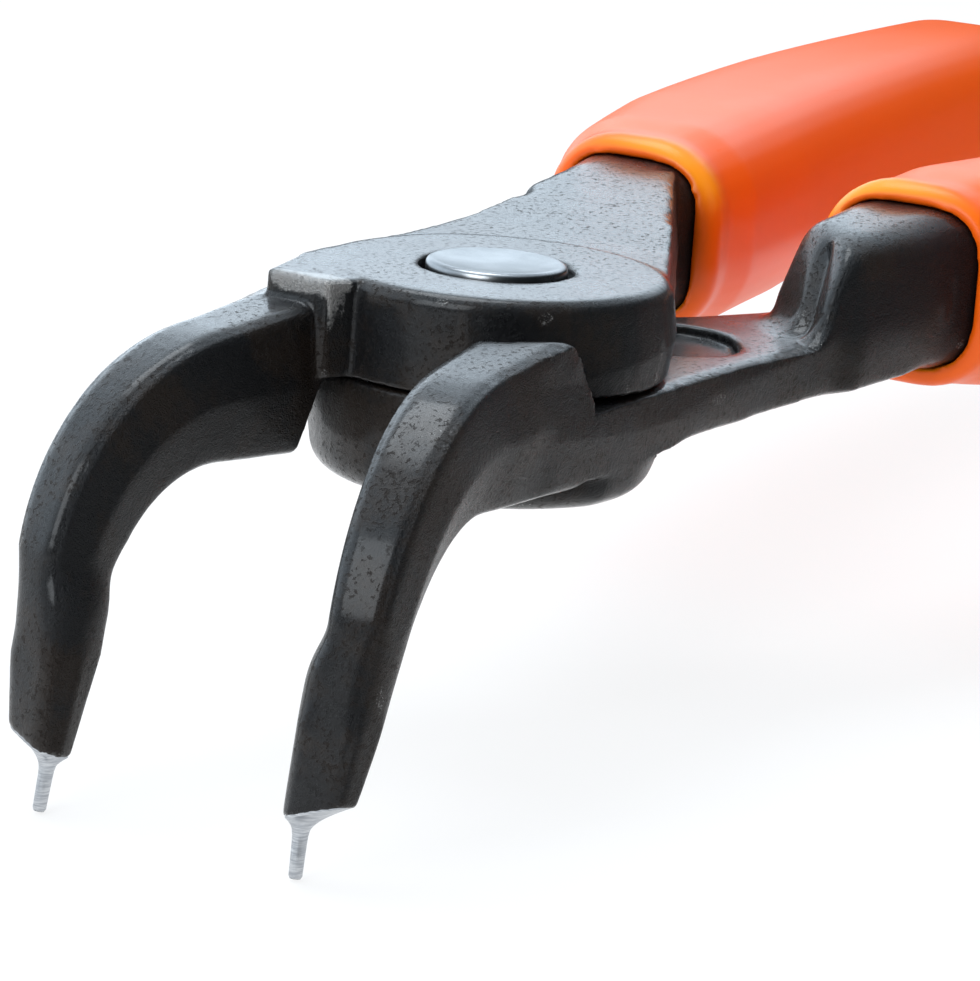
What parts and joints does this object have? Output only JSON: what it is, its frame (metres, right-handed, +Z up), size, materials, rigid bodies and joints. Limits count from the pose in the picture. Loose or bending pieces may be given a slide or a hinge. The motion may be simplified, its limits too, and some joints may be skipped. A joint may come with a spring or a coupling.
{
  "type": "circlip pliers",
  "caption": "External circlip pliers with tips bent at a right angle, black forged levers on a rivet and orange sleeves; squeezing the handles spreads the tip pins.",
  "frame": {"origin": "centre of the flat top of the rivet head, on the pivot axis", "axes": "+Z up along the pivot axis, away from the tips; +X towards the handles; +Y towards the upper lever's side"},
  "size_m": [0.144, 0.0544, 0.0293],
  "materials": {
    "black_steel": "black oxide on forged steel",
    "rivet_steel": "satin",
    "orange_sleeve": "smooth moulded plastic"
  },
  "bodies": {
    "lower": {"lower_lever": "black_steel", "pivot_rivet": "rivet_steel", "lower_grip": "orange_sleeve"},
    "upper": {"upper_lever": "black_steel", "upper_grip": "orange_sleeve"}
  },
  "joints": [
    {"name": "pivot", "type": "hinge", "parent": "lower", "child": "upper", "pos_m": [0, 0, 0], "axis": [0, 0, -1], "range_deg": [-25, 8]}
  ]
}
